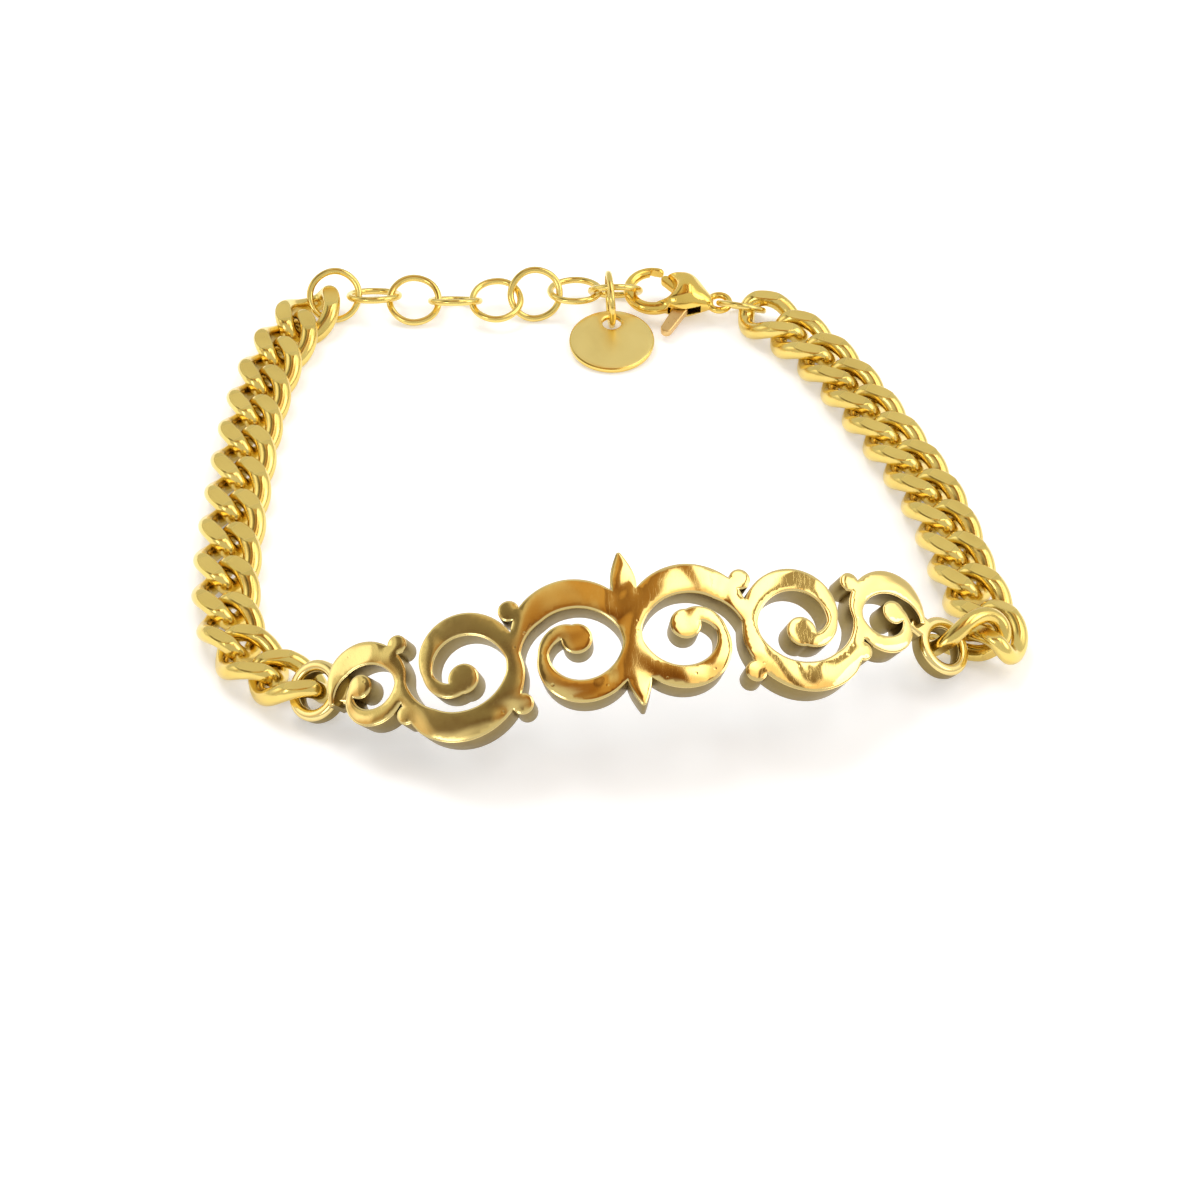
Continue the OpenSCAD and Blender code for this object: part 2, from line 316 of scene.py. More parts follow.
# The least half-width of a ground strip as it is drawn, and the least that counts as a flat
LEAST_STRIP = 0.2
LEAST_FLAT = 0.3
LEFT_START = (-24.9, 34.8)
LEFT_HEADINGS = (-118, -109, -101, -96, -94, -92, -91, -91, -89, -84)
LEFT_PITCH = 4
RIGHT_START = (14.76, 33.78)
RIGHT_HEADINGS = (-45.5, -54.5, -61.5, -65.5, -67.5, -67.5, -70.5, -75.5, -80.5, -80.5, -71.9)
RIGHT_PITCH = 3.85
# The last links of each chain: place, heading, rise, roll
LEFT_ENDS = (
    ((-27.86, -4.66, 1.28), -74.2, 2.7, -3.9),
    ((-26.03, -8.16, 1.4), -49.6, 4.5, -1.5),
    ((-22.94, -10.82, 1.7), -31.9, 7.7, -4.3),
)
RIGHT_ENDS = (
    ((29.62, -5.48, 1.75), -81.3, 13.2, -4),
    ((27.21, -6.91, 2.48), 9.9, 7.3, -74.8),
)


def link_centres(steps):
    """Points along the middle of the wire, and the way that is up for the wire at each."""
    t = 2 * np.pi * np.arange(steps) / steps
    x, y = LINK_HALF_LENGTH * np.cos(t), LINK_HALF_WIDTH * np.sin(t)
    twist = np.radians(-LINK_TWIST * x / LINK_HALF_LENGTH)
    centres = np.stack([x, y * np.cos(twist), y * np.sin(twist)], 1)
    return centres, np.stack([0 * x, -np.sin(twist), np.cos(twist)], 1)


def link_shape(r, steps=72, flat_points=5, round_points=8, chamfer=0.07):
    """Points, faces and zones of a link with wire of radius r. Zone 0 is a ground flat, 1 the wire."""
    centres, ups = link_centres(steps)
    tangents = np.roll(centres, -1, 0) - np.roll(centres, 1, 0)
    tangents /= np.linalg.norm(tangents, axis=1)[:, None]
    step = chamfer / r
    points = []
    cuts = []
    for c, t, u in zip(centres, tangents, ups):
        n = u - float(u @ t) * t
        n /= np.linalg.norm(n)
        b = np.cross(t, n)
        m = math.hypot(b[2], n[2])
        up = (b[2] * b + n[2] * n) / m
        across = (b[2] * n - n[2] * b) / m
        halves = []
        for sign in (1, -1):
            level = (LINK_HALF_THICK - sign * c[2]) / m
            width = math.sqrt(max(0.0, r * r - level * level)) if level < r else 0.0
            halves.append((level, width, max(width, LEAST_STRIP)))
        cuts.append((halves[0][1] > LEAST_FLAT, halves[1][1] > LEAST_FLAT))
        edge = [math.asin(min(1, h[2] / r)) for h in halves]
        for index, sign in ((0, 1), (1, -1)):
            level, _, half = halves[index]
            for k in range(flat_points):
                q = (2 * k / (flat_points - 1) - 1) * (half - chamfer)
                p = min(math.sqrt(r * r - q * q), level)
                points.append(c + sign * p * up + sign * q * across)
            begin = edge[index] + step
            end = math.pi - edge[1 - index] - step
            for k in range(round_points):
                a = begin + (end - begin) * k / (round_points - 1)
                points.append(c + sign * r * (math.cos(a) * up + math.sin(a) * across))
    columns = 2 * (flat_points + round_points)
    zones = []
    rows = len(centres)
    for i in range(rows):
        k = (i + 1) % rows
        for j in range(columns):
            index, place = divmod(j, flat_points + round_points)
            flat = place < flat_points - 1 and cuts[i][index] and cuts[k][index]
            zones.append(0 if flat else 1)
    return np.array(points), grid_faces(rows, columns), zones


def way(heading):
    return np.array([math.cos(math.radians(heading)), math.sin(math.radians(heading))])


def link_rows(start, headings, pitch, ends):
    """Place, heading, rise and roll of every link of a chain."""
    place = np.array(start, float)
    rows = []
    for i, heading in enumerate(headings):
        if i:
            place = place + pitch / 2 * (way(headings[i - 1]) + way(heading))
        rows.append(((place[0], place[1], LINK_HALF_THICK), heading, 0, 0))
    return rows + list(ends)


def add_chains():
    shapes = {r: link_shape(r) for r in {LINK_WIRE_R, *FINER.values()}}
    chains = (
        ("left", link_rows(LEFT_START, LEFT_HEADINGS, LEFT_PITCH, LEFT_ENDS)),
        ("right", link_rows(RIGHT_START, RIGHT_HEADINGS, RIGHT_PITCH, RIGHT_ENDS)),
    )
    for side, rows in chains:
        for i, (place, heading, rise, roll) in enumerate(rows, 1):
            node = f"{side}_link_{i:02d}"
            points, faces, zones = shapes[FINER.get(node, LINK_WIRE_R)]
            at = placed(points, place, (2, heading), (1, -rise), (0, roll))
            add_piece(node, at, faces, zones, [LINK_FLAT, LINK_WIRE], sharp=24)


# Flat pierced shapes: outlines joined in the plane, then given thickness and rounded edges

# Farther than anything here
FAR = 1e9
# Points closer than this are one
WELD = 1e-5
# An outline of no more points than this is a sliver and is left out
SLIVER = 8
# A bend above this, in radians, is a corner
CORNER = 0.5
# The most that an inset moves a point at a corner and at a notch, in times its distance
CORNER_RUN = 2.2
NOTCH_RUN = 1.15
# Rows of faces on a wall
WALL_ROWS = 2
# The height of a row of seed points, and how far seeds keep off the outline, in times their spacing
ROW_RISE = 0.87
SEED_CLEAR = 0.45


def inside(points, loop):
    """Which points lie inside a closed outline."""
    x, y = points[:, 0][:, None], points[:, 1][:, None]
    a = np.asarray(loop)
    b = np.roll(a, -1, 0)
    crosses = (a[:, 1] > y) != (b[:, 1] > y)
    rise = np.where(b[:, 1] == a[:, 1], 1e-12, b[:, 1] - a[:, 1])
    at = a[:, 0] + (y - a[:, 1]) * (b[:, 0] - a[:, 0]) / rise
    return (crosses & (x < at)).sum(1) % 2 == 1


def triangulated(points, edges):
    """Triangles over points, with the edges kept. Returns new points, triangles and old indices."""
    result = geometry.delaunay_2d_cdt([Vector(p) for p in points], edges, [], 0, WELD)
    verts, _, faces, old = result[:4]
    return np.array([tuple(v) for v in verts]), [tuple(f) for f in faces], old


def centroids(verts, triangles):
    return np.array([verts[list(t)].mean(0) for t in triangles])


def anticlockwise(verts, triangle):
    """The triangle's corners in the order that goes anticlockwise."""
    a, b, c = triangle
    ab = verts[b] - verts[a]
    ac = verts[c] - verts[a]
    if ab[0] * ac[1] - ab[1] * ac[0] < 0:
        return a, c, b
    return a, b, c


def joined(solids, holes=()):
    """Outlines of the solids' union less the holes, with the metal on the left."""
    points = []
    edges = []
    for loop in [*solids, *holes]:
        first = len(points)
        points += [tuple(p) for p in loop]
        edges += [(first + i, first + (i + 1) % len(loop)) for i in range(len(loop))]
    verts, faces, _ = triangulated(points, edges)
    centres = centroids(verts, faces)
    metal = np.zeros(len(faces), bool)
    for loop in solids:
        metal |= inside(centres, loop)
    for loop in holes:
        metal &= ~inside(centres, loop)
    directed = set()
    for keep, face in zip(metal, faces):
        if keep:
            a, b, c = anticlockwise(verts, face)
            directed |= {(a, b), (b, c), (c, a)}
    following = {a: b for a, b in directed if (b, a) not in directed}
    loops = []
    while following:
        start, at = next(iter(following.items()))
        loop = [start]
        del following[start]
        while at != start and at in following:
            loop.append(at)
            at = following.pop(at)
        if len(loop) > SLIVER:
            loops.append(thinned(verts[loop]))
    return loops


def thinned(loop, least=0.07):
    """Drops points that crowd each other, but never a corner."""
    kept = []
    count = len(loop)
    for i in range(count):
        before = loop[i] - loop[i - 1]
        after = loop[(i + 1) % count] - loop[i]
        bend = abs(math.atan2(before[0] * after[1] - before[1] * after[0], float(before @ after)))
        close = bool(kept) and np.linalg.norm(loop[i] - kept[-1]) < least
        if bend > CORNER or not close:
            if close and len(kept) > 1:
                kept.pop()
            kept.append(loop[i])
    return np.array(kept)


def inset(loop, distance):
    """The outline moved into the metal."""
    before = loop - np.roll(loop, 1, 0)
    after = np.roll(loop, -1, 0) - loop
    before /= np.linalg.norm(before, axis=1)[:, None]
    after /= np.linalg.norm(after, axis=1)[:, None]
    normal = np.stack([-(before + after)[:, 1], (before + after)[:, 0]], 1)
    size = np.linalg.norm(normal, axis=1)[:, None]
    normal = normal / np.maximum(size, 1e-6)
    half = np.maximum(size[:, 0] / 2, 0.05)
    convex = before[:, 0] * after[:, 1] - before[:, 1] * after[:, 0] > 0
    reach = np.minimum(1 / half, np.where(convex, CORNER_RUN, NOTCH_RUN))
    return loop + normal * (reach * distance)[:, None]


def nearest(points, loops, batch=400):
    """Distance from each point to the outlines."""
    best = np.full(len(points), FAR)
    for loop in loops:
        d = np.roll(loop, -1, 0) - loop
        for k in range(0, len(points), batch):
            offset = points[k:k + batch, None] - loop[None]
            t = np.clip((offset * d).sum(2) / (d * d).sum(1), 0, 1)
            gap = np.linalg.norm(offset - t[:, :, None] * d, axis=2).min(1)
            best[k:k + batch] = np.minimum(best[k:k + batch], gap)
    return best


def in_metal(points, rings):
    """Which points lie inside an odd number of outlines."""
    count = np.zeros(len(points), int)
    for ring in rings:
        count += inside(points, ring)
    return count % 2 == 1


def cut_plate(loops, thick, edge, back, spacing, pillow=0.0, reach=1.0):
    """A plate of the outlines: points as U, W and depth below the front, faces and zones.
    Zone 0 is the front, 1 the rounded edge, 2 the walls and the back.
    Pillow is how far the front drops at its edge, and reach is how far in the drop is felt."""
    profile = []
    for angle in (0, 22.5, 45, 67.5, 90):
        a = math.radians(angle)
        profile.append((edge * (1 - math.sin(a)), edge * (1 - math.cos(a)), 1))
    for k in range(1, WALL_ROWS + 1):
        profile.append((0, edge + (thick - edge - back) * k / WALL_ROWS, 2))
    profile.append((back * 0.3, thick - back * 0.3, 2))
    profile.append((back, thick, 2))
    if edge != back:
        profile.append((edge, thick, 2))
    points = []
    faces = []
    zones = []
    front = []
    rear = []
    for loop in loops:
        count = len(loop)
        first = len(points)
        for distance, depth, _ in profile:
            ring = inset(loop, distance) if distance else loop
            points += [(p[0], p[1], depth) for p in ring]
        for k in range(len(profile) - 1):
            for i in range(count):
                j = (i + 1) % count
                a = first + k * count
                faces.append((a + i, a + count + i, a + count + j, a + j))
                zones.append(profile[k + 1][2])
        front.append(list(range(first, first + count)))
        rear.append(list(range(first + (len(profile) - 1) * count, first + len(profile) * count)))
    inner = [np.array([points[i][:2] for i in ring]) for ring in front]
    low = np.min([ring.min(0) for ring in inner], 0)
    high = np.max([ring.max(0) for ring in inner], 0)
    rows = int((high[1] - low[1]) / (spacing * ROW_RISE)) + 1
    columns = int((high[0] - low[0]) / spacing) + 1
    seeds = np.array([
        (low[0] + (i + 0.5 * (j % 2)) * spacing, low[1] + j * spacing * ROW_RISE)
        for j in range(rows) for i in range(columns)
    ])
    seeds = seeds[in_metal(seeds, inner)]
    seeds = seeds[nearest(seeds, inner) > spacing * SEED_CLEAR]
    flat = []
    edges = []
    owner = []
    for ring, other in zip(front, rear):
        begin = len(flat)
        flat += [points[i][:2] for i in ring]
        owner += list(zip(ring, other))
        edges += [(begin + i, begin + (i + 1) % len(ring)) for i in range(len(ring))]
    flat += [tuple(p) for p in seeds]
    verts, triangles, old = triangulated(flat, edges)
    names = []
    for v, source in zip(verts, old):
        if source and source[0] < len(owner):
            names.append(owner[source[0]])
            continue
        names.append((len(points), len(points) + 1))
        points += [(v[0], v[1], 0.0), (v[0], v[1], thick)]
    for keep, triangle in zip(in_metal(centroids(verts, triangles), inner), triangles):
        if keep:
            a, b, c = anticlockwise(verts, triangle)
            faces.append((names[a][0], names[b][0], names[c][0]))
            zones.append(0)
            faces.append((names[c][1], names[b][1], names[a][1]))
            zones.append(2)
    result = np.array(points)
    if pillow:
        away = nearest(result[:, :2], loops)
        drop = pillow * np.clip(1 - away / reach, 0, 1) ** 2
        result[:, 2] += np.where(result[:, 2] < edge * 0.5, drop, 0)
    return result, faces, zones


# The scroll plate, laid out flat along U with height W and bent round the wrist

PLATE_PLACE = (3.1, -18.4, 7.15)
PLATE_TURNS = ((2, 10), (0, 26), (1, -3))
PLATE_BEND = 46
PLATE_THICK = 2.2
STROKE_WIDE = 2.3
STROKE_THIN = 1.3
# A scroll of this radius has the full stroke
SCROLL_FULL = 4.3
# A scroll's stroke starts at this angle and runs in steps of this size, in degrees
SCROLL_FROM = -6
SCROLL_STEP = 4
# Past this angle it winds in, by this share of its radius for each degree of a winding of 470
PULL_FROM = 165
PULL = 0.0024
PULL_WIND = 450
# The bulb's middle lies this far inside the stroke's end
BULB_IN = 0.3
# The left half's scrolls: centre along U, centre height, radius, way and winding
SCROLLS = ((-20, 5.2, 2.87, 1, 410), (-12.8, 5, 4.3, -1, 470), (-4.25, 4.7, 4.25, 1, 470))
# Buds of the left half: place along U, height and diameter
BUDS = ((-17.1, 8, 1.5), (-17.1, 2.6, 1.5), (-8.5, 8.5, 1.6), (-8.5, 1.4, 1.6))
# Leaves at the middle: root height, 1 up or -1 down, length and width
LEAVES = ((7.2, 1, 4.6, 1.9), (3.8, -1, 4.3, 1.8))
# End eyes: centre along U, centre height and the way the neck runs
EYES = ((-24.7, 6.9, -20), (25.2, 3.6, 142))
# How far an eye lies behind the plate's face, and its thickness, a little under the solid's 1.5
EYE_DEPTH = 0.7
EYE_THICK = 1.46
# Radius of an eye and of its hole, and the length and half-width of its neck
EYE_RIM = 2.33
EYE_HOLE = 1.43
NECK_LENGTH = 3.4
NECK_HALF = 0.9
# A leaf is widest nearer its root the lower this is, and its tip has this radius
LEAF_BIAS = 0.8
LEAF_TIP = 0.22
LEAF_STEPS = 24
TIP_STEPS = 6


def circle(u, w, radius, steps=48):
    return [
        (u + radius * math.cos(2 * math.pi * i / steps), w + radius * math.sin(2 * math.pi * i / steps))
        for i in range(steps)
    ]


def scroll_outlines(u, w, radius, over, wind):
    """The stroke of a scroll and the bulb at its end. A smaller scroll has a finer stroke."""
    scale = 0.4 + 0.6 * radius / SCROLL_FULL

    def spot(a, side):
        r = radius * (1 - PULL * max(0, a - PULL_FROM) * PULL_WIND / (wind - 20)) + side
        return (u - r * math.cos(math.radians(a)), w + over * r * math.sin(math.radians(a)))

    def stroke(a):
        swell = STROKE_THIN + (STROKE_WIDE - STROKE_THIN) * abs(math.sin(math.radians(a)))
        return swell * scale * min(1, 0.45 + a / 90) * (1 - 0.5 * max(0, a - 90) / (wind - 90))

    steps = round((wind - SCROLL_FROM) / SCROLL_STEP)
    angles = [SCROLL_FROM + (wind - SCROLL_FROM) * i / steps for i in range(steps + 1)]
    outer = [spot(a, stroke(a) / 2) for a in angles]
    inner = [spot(a, -stroke(a) / 2) for a in reversed(angles)]
    bulb = spot(wind, -BULB_IN)
    return [outer + inner, circle(*bulb, STROKE_WIDE * scale / 2)]


def leaf_outline(root, sign, length, width):
    """A leaf along the middle line, with a small round tip."""
    lean = math.atan(LEAF_BIAS / 2 * math.pi * width / length)
    centre = length - LEAF_TIP / math.sin(lean)
    reach = (centre + LEAF_TIP * math.sin(lean)) / length
    side = []
    for i in range(LEAF_STEPS + 1):
        part = reach * i / LEAF_STEPS
        side.append((width / 2 * math.sin(math.pi * part ** LEAF_BIAS), root + sign * length * part))
    for i in range(1, TIP_STEPS + 1):
        a = (math.pi / 2 - lean) * (1 - i / TIP_STEPS)
        side.append((LEAF_TIP * math.sin(a), root + sign * (centre + LEAF_TIP * math.cos(a))))
    return side + [(-u, w) for u, w in reversed(side[1:-1])]


def ornament_outlines():
    half = []
    for row in SCROLLS:
        half += scroll_outlines(*row)
    for u, w, size in BUDS:
        half.append(circle(u, w, size / 2, 32))
    mirrored = [[(-u, w) for u, w in loop] for loop in half]
    return half + mirrored + [leaf_outline(*row) for row in LEAVES]


def eye_outlines(u, w, heading):
    """The solids of an end eye and its neck, and the eye's hole."""
    along = way(heading)
    across = np.array([-along[1], along[0]])
    centre = np.array([u, w])
    corners = ((0, -NECK_HALF), (NECK_LENGTH, -NECK_HALF), (NECK_LENGTH, NECK_HALF), (0, NECK_HALF))
    neck = [tuple(centre + along * a + across * b) for a, b in corners]
    return [circle(u, w, EYE_RIM, 72), neck], [circle(u, w, EYE_HOLE, 56)]


def bent(points, depth=0.0):
    """Flat points wrapped round the plate's bend and set in place."""
    radius = PLATE_BEND - depth - points[:, 2]
    angle = points[:, 0] / PLATE_BEND
    local = np.stack([radius * np.sin(angle), points[:, 1], radius * np.cos(angle) - PLATE_BEND], 1)
    return placed(local, PLATE_PLACE, *PLATE_TURNS)


def add_plate():
    places, faces, zones = cut_plate(
        joined(ornament_outlines()), PLATE_THICK, edge=0.16, back=0.1, spacing=0.28, pillow=0.05, reach=0.9
    )
    places = bent(places)
    for row in EYES:
        more, more_faces, more_zones = cut_plate(
            joined(*eye_outlines(*row)), EYE_THICK, edge=0.35, back=0.35, spacing=0.22
        )
        first = len(places)
        places = np.concatenate([places, bent(more, EYE_DEPTH)])
        faces += [tuple(first + i for i in face) for face in more_faces]
        zones += [1 if zone == 0 else zone for zone in more_zones]
    # Zone 2, the walls and the back, takes the dark gold of painted shade
    materials = [PLATE_FACE, PLATE_EDGE, PLATE_WALL_PAINTED_SHADE]
    add_piece("scroll_plate", places, faces, zones, materials, sharp=32)


# Rings of round wire

# The extender rings' radius and wire, and how far a ring strays from round
RING_RADIUS = 2.09
RING_WIRE = 0.58
RING_WAVE = 0.025
# Each ring strays another way, by this turn in radians
RING_PHASE = 1.3
# Extender rings: centre and lean
RINGS = (
    ((-22.75, 36.62, 1.82), -46.1),
    ((-19.39, 37.12, 1.43), 25.6),
    ((-15.92, 36.54, 1.39), -29),
    ((-12.4, 36.26, 1.51), 33.1),
    ((-8.88, 36.32, 1.55), -13.6),
    ((-5.55, 36.8, 1.83), -47),
    ((-2.16, 37.38, 1.76), 10.3),
    ((1.31, 37.3, 1.8), 45.7),
)
# Jump rings: node, radius, wire, centre and turns
JUMP_RINGS = (
    ("tag_ring", 2.2, 0.55, (0.86, 35.16, 2.5), ((2, 5), (1, 89))),
    ("clasp_ring", 1.95, 0.52, (12.06, 35.38, 1.56), ((2, -15.9), (0, 141))),
)


def wire_ring(radius, wire, phase, wave=RING_WAVE, around=72, section=14):
    """A ring bent by hand: not quite round and not quite flat."""
    points = []
    for i in range(around):
        a = 2 * math.pi * i / around
        r = radius + wave * math.sin(2 * a + phase) + 0.5 * wave * math.sin(5 * a + 1.7 * phase)
        lift = 0.7 * wave * math.sin(2 * a + 2.3 * phase)
        for j in range(section):
            s = 2 * math.pi * j / section
            reach = r + wire / 2 * math.cos(s)
            points.append((reach * math.cos(a), reach * math.sin(a), lift + wire / 2 * math.sin(s)))
    return np.array(points), grid_faces(around, section)


def add_rings():
    rows = [
        (f"extender_ring_{i}", RING_RADIUS, RING_WIRE, place, ((0, -lean),))
        for i, (place, lean) in enumerate(RINGS, 1)
    ]
    for k, (node, radius, wire, place, turns) in enumerate([*rows, *JUMP_RINGS]):
        points, faces = wire_ring(radius, wire, RING_PHASE * k)
        at = placed(points, place, *turns)
        add_piece(node, at, faces, [0] * len(faces), [RING_GOLD])


# The tag: a small disc with a satin face that falls away to a rounded, polished rim

TAG_PLACE = (1, 31.65, 0.69)
TAG_LEAN = 6.5
TAG_SIZE = 7.2
TAG_THICK = 0.5
TAG_HOLE = 1.6
TAG_HOLE_IN = 1.5


def add_tag():
    hole = circle(0, TAG_SIZE / 2 - TAG_HOLE_IN, TAG_HOLE / 2, 48)
    points, faces, zones = cut_plate(
        joined([circle(0, 0, TAG_SIZE / 2, 120)], [hole]),
        TAG_THICK, edge=0.14, back=0.14, spacing=0.3, pillow=0.05, reach=0.5,
    )
    local = points * (1, 1, -1) + (0, 0, TAG_THICK / 2)
    at = placed(local, TAG_PLACE, (0, TAG_LEAN))
    zones = [1 if zone else 0 for zone in zones]
    add_piece("tag", at, faces, zones, [TAG_FACE, TAG_RIM], sharp=35)


# The lobster clasp, shaped as a solid field and skinned

CLASP_PLACE = (6.75, 37.29, 1.72)
CLASP_LEAN = 12
# The body is the hull of two circles, each a middle and a radius, with its edges rounded
BODY_FRONT = ((0.15, -0.35), 2.05)
BODY_REAR = ((2.1, -1.15), 0.8)
BODY_HALF = 1.2
BODY_ROUND = 0.95
# The plump belly on top: its share of the height, middle and spread
BELLY = 0.45
BELLY_MIDDLE = (0.6, -0.5)
BELLY_SPREAD = 2.2
# The body thins towards its eye: by how much, from where along X and over what length
THIN_BY = 0.55
THIN_FROM = 0.9
THIN_SPAN = 2
# The hook: its middle and radius, its arc in degrees, its wire's radius at the nose and the gain to its root
HOOK_CENTRE = (-2.2, 0.15)
HOOK_RADIUS = 2.05
HOOK_FROM = 74
HOOK_TO = 300
HOOK_WIRE = 0.42
HOOK_GAIN = 0.16
HOOK_FILLET = 0.35
# The body is hollowed round the hook's middle, this far inside the line of its wire
BITE_IN = 0.3
# The clasp's eye: its middle, the line of its wire and the wire's radius
LOOP_PLACE = (3.45, -1.25)
LOOP_RADIUS = 0.85
LOOP_WIRE = 0.3
LOOP_FILLET = 0.25
PIVOT = (0.25, 0.35)
# The lever's room inside the body: half its height, the hub's round, and a convex outline for each arm
ROOM_HALF = 0.4
HUB_ROOM = 0.92
NOSE_ROOM = ((0.25, 1.3), (-2.4, 2.2), (-2.6, 0), (0.25, -0.6))
TAIL_ROOM_TOP = ((-0.6, 0.35), (-0.7, -1.7), (1.77, -1.7), (1.25, 0.35))
TAIL_ROOM_END = ((-0.66, -1.5), (-1.3, -3), (2.1, -3), (1.72, -1.5))
# The lever runs between circles, each a middle and a radius
HUB = (PIVOT, 0.8)
NOSE = ((-1.1, 1.2), 0.4)
TAB_ROOT = ((0.15, -2.1), 0.6)
TAB_TIP = ((-1.1, -4.3), 0.5)
LEVER_ARMS = ((HUB, NOSE), (HUB, TAB_ROOT), (TAB_ROOT, TAB_TIP))
LEVER_HALF = 0.35
LEVER_ROUND = 0.13
# The lever's tab, which is satin, lies beyond this Y
TAB_FROM = -1.9
# The cell of the grid that the clasp is skinned on
SKIN_STEP = 0.07


def blended(a, b, k):
    """The union of two fields with a fillet."""
    h = np.maximum(k - np.abs(a - b), 0) / k
    return np.minimum(a, b) - h * h * k / 4


def tapered(x, y, start, start_r, finish, finish_r):
    """Flat distance to the hull of two circles."""
    px, py = x - start[0], y - start[1]
    dx, dy = finish[0] - start[0], finish[1] - start[1]
    length = math.hypot(dx, dy)
    along = (px * dx + py * dy) / length
    across = np.abs(px * dy - py * dx) / length
    lean = (start_r - finish_r) / length
    tall = math.sqrt(1 - lean * lean)
    k = across * -lean + along * tall
    left = np.hypot(across, along) - start_r
    right = np.hypot(across, along - length) - finish_r
    side = across * tall + along * lean - start_r
    return np.where(k < 0, left, np.where(k > length * tall, right, side))


def polygon_field(x, y, corners):
    """Flat distance to a convex polygon, good enough near its sides."""
    centre = np.mean(corners, 0)
    field = np.full(np.shape(x), -FAR)
    for i, a in enumerate(corners):
        b = corners[(i + 1) % len(corners)]
        dx, dy = b[0] - a[0], b[1] - a[1]
        size = math.hypot(dx, dy)
        nx, ny = dy / size, -dx / size
        if (centre[0] - a[0]) * nx + (centre[1] - a[1]) * ny > 0:
            nx, ny = -nx, -ny
        field = np.maximum(field, (x - a[0]) * nx + (y - a[1]) * ny)
    return field


def rounded_slab(flat, z, half, edge):
    """A flat field given thickness and rounded edges."""
    a = flat + edge
    b = np.abs(z) - (half - edge)
    outside = np.hypot(np.maximum(a, 0), np.maximum(b, 0))
    return np.minimum(np.maximum(a, b), 0) + outside - edge


def body_field(x, y, z):
    """The clasp's body with its hook and eye, less the lever's room."""
    hx, hy = x - HOOK_CENTRE[0], y - HOOK_CENTRE[1]
    flat = tapered(x, y, *BODY_FRONT, *BODY_REAR)
    flat = np.maximum(flat, HOOK_RADIUS - BITE_IN - np.hypot(hx, hy))
    from_belly = (x - BELLY_MIDDLE[0]) ** 2 + (y - BELLY_MIDDLE[1]) ** 2
    belly = np.where(z > 0, BELLY * np.exp(-from_belly / BELLY_SPREAD), 0)
    near_eye = np.clip((x - THIN_FROM) / THIN_SPAN, 0, 1)
    thinner = 1 + THIN_BY * near_eye * near_eye * (3 - 2 * near_eye)
    body = rounded_slab(flat, z * thinner / (1 + belly), BODY_HALF, BODY_ROUND)
    angle = np.clip(np.degrees(np.arctan2(hy, hx)) % 360, HOOK_FROM, HOOK_TO)
    part = (angle - HOOK_FROM) / (HOOK_TO - HOOK_FROM)
    cx, cy = HOOK_RADIUS * np.cos(np.radians(angle)), HOOK_RADIUS * np.sin(np.radians(angle))
    wire = HOOK_WIRE + HOOK_GAIN * part
    hook = np.sqrt((hx - cx) ** 2 + (hy - cy) ** 2 + z ** 2) - wire
    solid = blended(body, hook, HOOK_FILLET)
    loop = np.hypot(np.hypot(x - LOOP_PLACE[0], y - LOOP_PLACE[1]) - LOOP_RADIUS, z) - LOOP_WIRE
    solid = blended(solid, loop, LOOP_FILLET)
    room = np.hypot(x - PIVOT[0], y - PIVOT[1]) - HUB_ROOM
    for corners in (NOSE_ROOM, TAIL_ROOM_TOP, TAIL_ROOM_END):
        room = np.minimum(room, polygon_field(x, y, corners))
    room = np.maximum(room, np.abs(z) - ROOM_HALF)
    return np.maximum(solid, -room)


def lever_field(x, y, z):
    """The lever: its nose, its tail inside the body and the bent tab beyond it."""
    flat = np.min([tapered(x, y, *start, *finish) for start, finish in LEVER_ARMS], 0)
    return rounded_slab(flat, z, LEVER_HALF, LEVER_ROUND)


